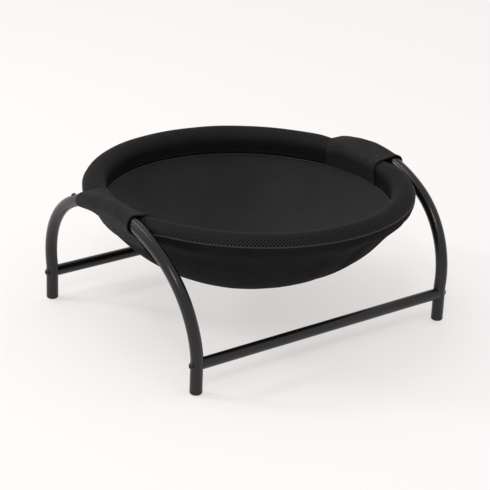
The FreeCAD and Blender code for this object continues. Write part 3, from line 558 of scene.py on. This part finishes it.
def brushed_cloth(name, colour, roughness, sheen):
    """Short soft nap: two sizes of grain lift the surface, and broad patches change its tone."""
    finish = {"Roughness": roughness, "Sheen Weight": sheen, "Sheen Roughness": 0.5,
              "Specular IOR Level": 0.15}
    material, tree, shader = new_material(name, finish)
    nap = math_node(tree, "ADD", noise(tree, 1100.0, 4.0), noise(tree, 260.0, 3.0))
    tone = math_node(tree, "ADD", math_node(tree, "MULTIPLY", nap, 0.3), noise(tree, 26.0, 5.0))
    tree.links.new(shade(tree, tone, colour, 0.66, 1.30), shader.inputs["Base Color"])
    add_bump(tree, shader, nap, 0.35, 0.0003)
    return material


def woven_band(name, colour):
    """Narrow tape: fine grain in gloss and tone, with a soft sheen."""
    return brushed_cloth(name, colour, 0.6, 0.05)


def powder_coat(name, colour, roughness, grain):
    """Hard satin coat with a fine orange-peel surface and slightly uneven gloss."""
    finish = {"Specular IOR Level": 0.42, "IOR": 1.5}
    material, tree, shader = new_material(name, finish)
    broad = noise(tree, 30.0, 3.0)
    uneven_gloss(tree, shader, broad, roughness - 0.04, roughness + 0.05)
    tree.links.new(shade(tree, broad, colour, 0.9, 1.1), shader.inputs["Base Color"])
    add_bump(tree, shader, noise(tree, grain, 2.0), 0.25, 0.0002)
    return material


def worked_steel(name, colour, roughness):
    """Plain steel with fine scratches of tone and gloss."""
    material, tree, shader = new_material(name, {"Metallic": 1.0})
    grain = noise(tree, 240.0, 5.0)
    uneven_gloss(tree, shader, grain, roughness - 0.08, roughness + 0.08)
    tree.links.new(shade(tree, grain, colour, 0.8, 1.1), shader.inputs["Base Color"])
    add_bump(tree, shader, grain, 0.1, 0.0001)
    return material


# ------------------------------------------------------------------------------------------------
# Operators
# ------------------------------------------------------------------------------------------------
class BedOperator:
    """What every operator of the bed shares: its sizes, colours and the bag's side view."""

    bl_options = {"REGISTER", "UNDO"}

    def prepare(self, context):
        """Reads the settings and works out the bag's side view."""
        self.sizes = context.scene.dog_bed_sizes
        self.colours = context.scene.dog_bed_colours
        self.curve = BagCurve(self.sizes)


class DOGBED_OT_rim_padding(BedOperator, bpy.types.Operator):
    """Foam sleeve round the hoop"""

    bl_idname = "dogbed.rim_padding"
    bl_label = "Rim padding"

    def execute(self, context):
        """A round ring whose section swells and shrinks a little with the angle."""
        self.prepare(context)
        turns = np.linspace(0, TURN, 288, endpoint=False)[None, :]
        section = np.linspace(0, TURN, 28, endpoint=False)[:, None]
        centre, radius = rim_section(self.sizes, turns[0])
        swell = radius - self.sizes.mesh_cloth - 0.0008 + 0.0002 * np.sin(9 * turns) * np.cos(section)
        material = brushed_cloth("foam_finish", (0.010, 0.010, 0.010), 0.9, 0.0)
        piece = round_loop("rim_padding", centre[:, 0] + swell * np.cos(section),
                           centre[:, 1] + swell * np.sin(section), turns, material)
        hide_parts("rim_foam")
        return {"FINISHED"}


class DOGBED_OT_rim_mesh(BedOperator, bpy.types.Operator):
    """Mesh cover of the rim, with its inner binding, outer piping and seam stitches"""

    bl_idname = "dogbed.rim_mesh"
    bl_label = "Rim mesh and trim"

    def cover_lines(self, azimuth, depth, count):
        """Side views of the cover, one per azimuth, from the inner seam over the rim to the
        outer seam. depth is how far they lie under the cover's outer face."""
        rim, radius = rim_section(self.sizes, azimuth)
        seam = np.array([[SEAM_RADIUS, SEAM_HEIGHT]]) + 0 * rim
        last = outer_seam(self.sizes, azimuth, SEAM_ALLOWANCE)
        normal = tangent_normal(seam, 0 * radius, rim, radius)
        reach = (radius - depth)[:, None]
        lines = [straight(seam - normal * depth, rim + normal * reach, 16),
                 clockwise(rim, radius - depth, normal, last, 64), (rim + last * reach)[:, None]]
        points, length = evenly(np.concatenate(lines, axis=1), count)
        return np.moveaxis(points, 0, 1), float(length.mean())

    def execute(self, context):
        """The cover's outer face sinks at every second point of a fine grid, in a chequered
        way, so that the points left high make a net of diamonds. The inner face is plain."""
        self.prepare(context)
        sizes = self.sizes
        around = 2 * round(TURN * (HOOP_RADIUS + sizes.rim_outward) / sizes.mesh_pitch)
        turns = np.arange(around) / around * TURN
        length = self.cover_lines(turns, 0.0, 60)[1]
        rows = round(2 * length / sizes.mesh_pitch) + 1
        outer = self.cover_lines(turns, 0.0, rows)[0]
        inner = self.cover_lines(turns, sizes.mesh_cloth, rows)[0][::-1]
        row, column = np.arange(rows)[:, None], np.arange(around)[None, :]
        hole = ((row + column) % 2) * ((row > 0) & (row < rows - 1))
        away = unit(outer - inner[::-1])
        soft = 0.0003 * np.sin(7 * turns) + 0.00015 * np.sin(17 * turns + 1)
        easing = np.sin(math.pi * row / (rows - 1))
        move = (soft * easing - sizes.mesh_dimple * hole)[..., None]
        line = np.concatenate([outer + away * move, inner])
        mask = np.concatenate([hole, np.zeros_like(hole)])
        material = mesh_cloth("mesh_finish", self.colours.mesh, self.colours.mesh_hole_shade)
        cover = round_loop("rim_mesh_sleeve", line[..., 0], line[..., 1], turns, material,
                           net_triangles, masks={"hole": mask}, sharp=180)
        trim = self.build_trim(outer[2, 0], away[2, 0])
        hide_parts("rim_mesh_cover")
        return {"FINISHED"}

    def build_trim(self, spot, out):
        """The binding is a flattened ring on the inner seam, the piping a round cord. The binding is
        pinched a little at each stitch, and the piping's section swells and thins along a twist."""
        turns = np.linspace(0, TURN, 1152, endpoint=False)[None, :]
        section = np.linspace(0, TURN, 16, endpoint=False)[:, None]
        pinch = 1 - 0.10 * np.cos(turns * 288) ** 2
        material = woven_band("trim_finish", self.colours.trim)
        wide, thin = BINDING_SECTION * pinch, BINDING_SECTION * 0.62 * pinch
        binding = round_loop("seam_binding", BINDING_RADIUS - 0.0006 + thin * np.cos(section),
                             BINDING_HEIGHT + wide * np.sin(section), turns, material)
        twist = PIPING_SECTION * 1.05 * (1 + 0.08 * np.sin(section * 2 + turns * 190))
        rim, radius = rim_section(self.sizes, turns[0])
        line = rim + outer_seam(self.sizes, turns[0]) * (radius - 0.0001)[:, None]
        piping = round_loop("rim_piping", line[:, 0] + twist * np.cos(section),
                            line[:, 1] + twist * np.sin(section), turns, material)
        count = round(TURN * SEAM_RADIUS / self.sizes.stitch_pitch)
        angle = np.arange(count) / count * TURN
        circle = np.stack([np.cos(angle), np.sin(angle), 0 * angle], axis=-1)
        centres = circle * spot[0] + np.array([0, 0, spot[1]])
        up = unit(circle * out[0] + np.array([0, 0, out[1]]))
        along = np.stack([-np.sin(angle), np.cos(angle), 0 * angle], axis=-1)
        stitches = stitch_row("seam_stitches", centres, along, up, self.sizes, material)
        for piece, node in ((binding, "rim_inner_binding"), (piping, "rim_outer_welt")):
            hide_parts(node)
        return [binding, piping, stitches]


class DOGBED_OT_bag(BedOperator, bpy.types.Operator):
    """Outer cloth of the bowl"""

    bl_idname = "dogbed.bag"
    bl_label = "Bag"

    ANGLES, ROWS = 384, 120

    # azimuth and half width in degrees, and share of the full height
    CREASES = ((-80, 5.0, 1.0), (-66, 3.5, 0.8), (-58, 4.0, 0.5), (-97, 6.0, 0.45),
               (-150, 6.0, 0.35), (-172, 5.0, 0.4), (60, 5.0, 0.6), (98, 5.0, 0.7), (128, 4.0, 0.5))

    def slack(self, share, angle):
        """Slow waves round the bag, stronger up the side, plus pulled creases that start at
        the edge and fade towards the bottom. A crease is a narrow bell across its angle that
        leans sideways as it runs down."""
        sizes = self.sizes
        side = np.clip((share - 0.35) / 0.65, 0, 1)
        held = np.clip((1 - share) / 0.12, 0, 1)
        waves = np.sin(5 * angle + 0.6) + 0.6 * np.sin(11 * angle + 2.1) + 0.35 * np.sin(23 * angle)
        move = sizes.bag_sag * waves * side * held
        move = move + sizes.bag_sag * 0.8 * np.sin(3 * angle + 8 * share) * held * share
        for centre, width, height in self.CREASES:
            line = math.radians(centre) - 0.10 * (1 - share)
            off = (angle - line + math.pi) % TURN - math.pi
            bell = np.exp(-(off / math.radians(width)) ** 2)
            fade = np.clip((share - 0.45) / 0.4, 0, 1) * np.clip((1.0 - share) / 0.08, 0, 1)
            ridge = np.sin(np.clip(off / math.radians(width), -2, 2) * 1.6)
            move = move + sizes.bag_crease * height * bell * fade * ridge * 0.6
        return move

    def eased(self, line):
        """The line with its bends eased: each point moves to the mean of its neighbours, again
        and again, except near the pole and the outer seam."""
        row = np.arange(len(line))[:, None, None]
        share = np.clip((row - 60) / 10, 0, 1) * np.clip((len(line) - 14 - row) / 6, 0, 1)
        for _ in range(24):
            mean = (np.roll(line, 1, axis=0) + np.roll(line, -1, axis=0)) / 2
            line = line + (mean - line) * share * 0.5
        return line

    def execute(self, context):
        """From the pole the bag follows its side view to a held height. Then it goes straight
        up to the rim, touches it, and follows it round to the outer seam. The line is carried
        round the Z axis and moved out by the slack.

        Known fault: within about 11 degrees of an arch the outer seam lies past the touching
        point, so the arc goes the long way round the rim, inside it and under the wraps."""
        self.prepare(context)
        sizes = self.sizes
        angles = np.linspace(0, TURN, self.ANGLES, endpoint=False)
        rim, radius = rim_section(sizes, angles)
        low_radius, low_height, _, _ = self.curve.rows(0.0, HOOP_HEIGHT - sizes.held_drop, 90)
        low = np.stack([low_radius, low_height], axis=-1)[None] + 0 * rim[:, None]
        touch = tangent_normal(rim, radius, low[:, -1], 0 * radius)
        seam = outer_seam(sizes, angles, -SEAM_ALLOWANCE)
        round_rim = clockwise(rim, radius, seam, touch, 24)[:, ::-1]
        foot = straight(low[:, -1], rim + touch * radius[:, None], 12)
        line, length = evenly(np.concatenate([low[:, :-1], foot, round_rim], axis=1),
                              self.ROWS)
        line = self.eased(np.moveaxis(line, 0, 1))
        step = unit(np.gradient(line, axis=0))
        out = np.stack([step[..., 1], -step[..., 0]], axis=-1)
        share = np.linspace(0, 1, self.ROWS)[:, None]
        line = line + out * (self.slack(share, angles[None, :]) + 0.0002)[..., None]
        within = line - out * sizes.bag_cloth
        outside = carried_round(line[..., 0], line[..., 1], angles)
        inside = carried_round(within[..., 0], within[..., 1], angles)
        reach = share * length[None, :]
        cut = np.stack([reach * np.cos(angles), reach * np.sin(angles)], axis=-1)
        material = woven_cloth("bag_finish", self.colours.bag, 0.0011, 0.75, 0.03, 0.3, 0.6)
        bag = round_shell("bag_cloth", outside, inside, material, uv=cut)
        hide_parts("outer_bag")
        return {"FINISHED"}


class DOGBED_OT_bowl_pad(BedOperator, bpy.types.Operator):
    """Padded liner of the bowl"""

    bl_idname = "dogbed.bowl_pad"
    bl_label = "Bowl pad"

    ANGLES, ROWS = 320, 100

    def soft(self, share, angle):
        """Low, broad unevenness: three slow waves in angle and length, held at the seam."""
        held = np.clip((1 - share) / 0.10, 0, 1) * np.clip(share / 0.15, 0, 1)
        waves = (np.sin(3 * angle + 5 * share) + 0.7 * np.sin(7 * angle - 4 * share + 1)
                 + 0.5 * np.sin(2 * angle + 11 * share + 2))
        return -self.sizes.pad_ripple * waves * held

    def execute(self, context):
        """The pad lies between two side views, one inset from the bag and one deeper. Its upper
        face is a little uneven, and evens out towards the pole and the seam."""
        self.prepare(context)
        sizes = self.sizes
        angles = np.linspace(0, TURN, self.ANGLES, endpoint=False)
        outside, cut = bowl_face(self.curve, sizes.pad_inset, LINER_TOP, angles,
                                 self.ROWS, lambda share, angle: 0 * share * angle)
        inside, _ = bowl_face(self.curve, sizes.pad_inset + sizes.pad_depth, LINER_TOP, angles,
                              self.ROWS, self.soft)
        material = brushed_cloth("liner_finish", self.colours.liner, 0.85, 0.08)
        pad = round_shell("bowl_pad", outside, inside, material, uv=cut)
        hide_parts("bowl_liner", "bowl_wadding")
        return {"FINISHED"}


class DOGBED_OT_wraps(BedOperator, bpy.types.Operator):
    """Wraps that tie the rim to the arches, with their stitches"""

    bl_idname = "dogbed.wraps"
    bl_label = "Wraps"

    STATIONS, ROWS = 150, 110
    HEM_RISE, HEM_EASE = 0.0004, 0.0003
    GROOVE_DEPTH, GROOVE_WIDTH, GROOVE_INSET = 0.00035, 0.0005, 0.0011

    def face(self, along_y, lift, mouth, count, side):
        """One face of a wrap as points in space. lift is its distance from what it covers, and
        mouth the extra distance from the tube."""
        lines, length, azimuth = wrap_lines(self.sizes, self.curve, along_y, lift,
                                            lift + mouth, count)
        points = carried_round(lines[..., 0], lines[..., 1], azimuth[:, None]) * (side, 1, 1)
        return points, float(length.mean())

    def execute(self, context):
        """Side views at places along Y make the two faces. A hem is a thicker band at each
        edge with a groove where it is sewn. At the front edge the cloth stands off the tube."""
        self.prepare(context)
        sizes = self.sizes
        count = self.ROWS
        along_y = np.linspace(-sizes.wrap_front, sizes.wrap_back, self.STATIONS)
        edge = np.minimum(along_y + sizes.wrap_front, sizes.wrap_back - along_y)
        mouth = sizes.wrap_mouth * np.exp(-(along_y + sizes.wrap_front) / 0.0045)
        hem = self.HEM_RISE / (1 + np.exp((edge - sizes.wrap_hem) / self.HEM_EASE))
        from_groove = edge - sizes.wrap_hem + self.GROOVE_INSET
        groove = self.GROOVE_DEPTH * np.exp(-(from_groove / self.GROOVE_WIDTH) ** 2)
        soft = np.clip(edge / 0.015, 0, 1)
        share = np.linspace(0, 1, count)[None, :]
        pull = (0.0003 * np.sin(along_y[:, None] * 95 + share * 4)
                + 0.00012 * np.sin(along_y[:, None] * 210 - share * 9)) * soft[:, None]
        ribs = 0.00012 * np.sin(share * 150) * np.exp(-(edge[:, None] - 0.009) ** 2 / 0.00003)
        bell = np.sin(math.pi * share) ** 0.5
        material = woven_cloth("wrap_finish", self.colours.wrap, 0.0026, 0.7, 0.10, 0.9, 4.0)
        thread = woven_band("thread_finish", self.colours.trim)
        for label, side in SIDES.items():
            inside, _ = self.face(along_y, FABRIC_GAP, mouth, count, side)
            outside, length = self.face(along_y, FABRIC_GAP + sizes.wrap_cloth, mouth, count, side)
            away = unit(outside - inside)
            cut = np.stack(np.broadcast_arrays(along_y[:, None], share * length), axis=-1)
            outside = outside + away * ((hem - groove)[:, None] + (pull + ribs) * bell)[..., None]
            inside = inside + away * np.clip(pull * bell, 0, 1)[..., None]
            wrap = closed_sheet(f"{label}_wrap_cloth", outside, inside, material, uv=cut)
            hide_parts(f"{label}_wrap")
            stitches = self.sew(label, outside, away, edge, length, thread)
        return {"FINISHED"}

    def sew(self, label, outside, away, edge, length, material):
        """A row of stitches along each hem, in its groove."""
        count = round(length / self.sizes.stitch_pitch)
        place = (np.arange(count) + 0.5) / count * (outside.shape[1] - 1)
        low = np.floor(place).astype(int)
        part = (place - low)[:, None]
        inset = self.sizes.wrap_hem - self.GROOVE_INSET
        half = len(edge) // 2
        rows = [int(np.argmin(abs(edge[:half] - inset))),
                half + int(np.argmin(abs(edge[half:] - inset)))]
        points = np.concatenate([outside[r, low] * (1 - part) + outside[r, low + 1] * part
                                 for r in rows])
        along = unit(np.concatenate([outside[r, low + 1] - outside[r, low] for r in rows]))
        up = np.concatenate([away[r, low] for r in rows])
        return stitch_row(f"{label}_wrap_stitches", points + up * 0.0001, along, up, self.sizes,
                          material)


class DOGBED_OT_fastening_strips(BedOperator, bpy.types.Operator):
    """Hook and loop strips between the bag and the wraps"""

    bl_idname = "dogbed.fastening_strips"
    bl_label = "Hook and loop strips"

    ROWS, COLUMNS = 29, 90
    TAPE, RIDGE, HOOK_GAP = 0.001, 0.00012, 0.00145

    def execute(self, context):
        """Each strip is a band of the bag's side curve, moved out, between two azimuths. Its
        outer face carries low ridges along it."""
        self.prepare(context)
        material = brushed_cloth("tape_finish", self.colours.tape, 0.8, 0.1)
        for side_name, side in SIDES.items():
            for kind, gap in (("loop", FABRIC_GAP), ("hook", self.HOOK_GAP)):
                node = f"{side_name}_{kind}_strip"
                low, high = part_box(node)
                reach = max(abs(low.x), abs(high.x))
                azimuth = np.linspace(math.asin(low.y / reach), math.asin(high.y / reach),
                                      self.COLUMNS)
                height = np.linspace(low.z, high.z, self.ROWS)
                ridges = self.RIDGE * np.cos(np.arange(self.ROWS) * math.pi)
                faces = []
                for out, relief in ((gap + self.TAPE, ridges), (gap, 0 * ridges)):
                    radius = self.curve.side_radius + out + relief
                    depth = height - self.curve.side_centre[1]
                    flat = self.curve.side_centre[0] + np.sqrt(radius ** 2 - depth ** 2)
                    faces.append(carried_round(flat[:, None], height[:, None], azimuth)
                                 * (side, 1, 1))
                strip = closed_sheet(f"{node}_tape", *faces, material)
                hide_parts(node)
        return {"FINISHED"}


class DOGBED_OT_frame_finishes(BedOperator, bpy.types.Operator):
    """Finishes of the tubes, bolts, foot caps and inside steel"""

    bl_idname = "dogbed.frame_finishes"
    bl_label = "Frame finishes"

    def execute(self, context):
        """Gives each CAD node that stays in view the finish that its own material names."""
        self.prepare(context)
        colours = self.colours
        finishes = {
            "frame_coat": powder_coat("tube_finish", colours.coat, 0.24, 900.0),
            "bolt_finish": powder_coat("bolt_finish_coat", colours.coat, 0.28, 1500.0),
            "cap_plastic": powder_coat("cap_finish", colours.coat, 0.55, 500.0),
            "inner_steel": worked_steel("steel_finish", colours.steel, 0.4),
        }
        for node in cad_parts.values():
            for slot in node.material_slots:
                slot.material = finishes.get(slot.material.name.split(".")[0], slot.material)
        return {"FINISHED"}


class DOGBED_OT_stage(BedOperator, bpy.types.Operator):
    """Pale floor, soft studio light and the camera"""

    bl_idname = "dogbed.stage"
    bl_label = "Stage"

    YAW, PITCH, ROLL = math.radians(38.0), math.radians(22.43), math.radians(2.41)
    DISTANCE, AIM = 2.27, Vector((0.0026, 0.0065, 0.0900))
    LENS, SENSOR = 124.4, 36.0

    LIGHTS = (
        ("top_light", (-0.5, 0.9, 2.6), (0, 0, 0.1), 1.2, 11),
        ("left_light", (-1.6, 1.5, 1.5), (-0.1, 0, 0.15), 0.4, 14),
        ("front_light", (-1.5, -1.6, 2.4), (0, 0, 0.1), 0.5, 15),
    )

    def execute(self, context):
        """Adds the floor, three square lights, a pale world and the camera."""
        self.prepare(context)
        scene = context.scene
        self.add_floor()
        for name, place, aim, width, power in self.LIGHTS:
            light = bpy.data.lights.new(name, "AREA")
            light.shape = "SQUARE"
            light.size = width
            light.energy = power
            lamp = bpy.data.objects.new(name, light)
            lamp.location = place
            lamp.rotation_mode = "QUATERNION"
            lamp.rotation_quaternion = (Vector(aim) - Vector(place)).to_track_quat("-Z", "Y")
            scene.collection.objects.link(lamp)
        world = bpy.data.worlds.new("studio")
        world.use_nodes = True
        background = world.node_tree.nodes["Background"]
        background.inputs["Color"].default_value = (1.0, 0.995, 0.99, 1)
        background.inputs["Strength"].default_value = 0.80
        scene.world = world
        scene.view_settings.view_transform = "Standard"
        self.add_camera(scene)
        return {"FINISHED"}

    def add_floor(self):
        """A flat square that gives off part of its light, so that shadows stay pale."""
        reach = 7.0
        corners = np.array([[-1, -1, 0], [1, -1, 0], [1, 1, 0], [-1, 1, 0]]) * reach
        mesh = bpy.data.meshes.new("floor")
        mesh.from_pydata(corners - np.array([0, 0, 0.0002]), [], [(0, 1, 2, 3)])
        material, tree, shader = new_material("floor_finish", {
            "Roughness": 0.9, "Specular IOR Level": 0.0,
            "Emission Color": (1.0, 0.965, 0.955, 1), "Emission Strength": 0.53})
        tone = shade(tree, noise(tree, 1.5, 2.0), self.colours.floor, 0.995, 1.005)
        tree.links.new(tone, shader.inputs["Base Color"])
        mesh.materials.append(material)
        floor = bpy.data.objects.new("floor", mesh)
        bpy.context.scene.collection.objects.link(floor)

    def add_camera(self, scene):
        """The camera looks along yaw and pitch at the aim point, rolled about that line."""
        flat = math.cos(self.PITCH)
        ahead = Vector((math.sin(self.YAW) * flat, math.cos(self.YAW) * flat, -math.sin(self.PITCH)))
        level = Vector((math.cos(self.YAW), -math.sin(self.YAW), 0))
        upright = level.cross(ahead)
        right = math.cos(self.ROLL) * level + math.sin(self.ROLL) * upright
        up = math.cos(self.ROLL) * upright - math.sin(self.ROLL) * level
        data = bpy.data.cameras.new("camera")
        data.lens = self.LENS
        data.sensor_width = self.SENSOR
        camera = bpy.data.objects.new("camera", data)
        turn = Matrix((right, up, -ahead)).transposed().to_4x4()
        camera.matrix_world = Matrix.Translation(self.AIM - ahead * self.DISTANCE) @ turn
        scene.collection.objects.link(camera)
        scene.camera = camera


OPERATORS = (
    DOGBED_OT_rim_padding,
    DOGBED_OT_rim_mesh,
    DOGBED_OT_bag,
    DOGBED_OT_bowl_pad,
    DOGBED_OT_wraps,
    DOGBED_OT_fastening_strips,
    DOGBED_OT_frame_finishes,
    DOGBED_OT_stage,
)


class DOGBED_PT_panel(bpy.types.Panel):
    """Lists the bed's operators and settings"""

    bl_idname = "DOGBED_PT_panel"
    bl_label = "Dog Bed"
    bl_space_type = "VIEW_3D"
    bl_region_type = "UI"
    bl_category = "Dog Bed"

    def draw(self, context):
        for operator in OPERATORS:
            self.layout.operator(operator.bl_idname)
        for group in (context.scene.dog_bed_sizes, context.scene.dog_bed_colours):
            box = self.layout.box()
            for key in group.__annotations__:
                box.prop(group, key)


CLASSES = (DogBedSizes, DogBedColours, *OPERATORS, DOGBED_PT_panel)


def register():
    for kind in CLASSES:
        bpy.utils.register_class(kind)
    bpy.types.Scene.dog_bed_sizes = PointerProperty(type=DogBedSizes)
    bpy.types.Scene.dog_bed_colours = PointerProperty(type=DogBedColours)


def unregister():
    del bpy.types.Scene.dog_bed_colours
    del bpy.types.Scene.dog_bed_sizes
    for kind in reversed(CLASSES):
        bpy.utils.unregister_class(kind)


def main():
    """Builds every piece in order."""
    register()
    for operator in OPERATORS:
        group, name = operator.bl_idname.split(".")
        getattr(getattr(bpy.ops, group), name)()


if __name__ == "__main__":
    main()
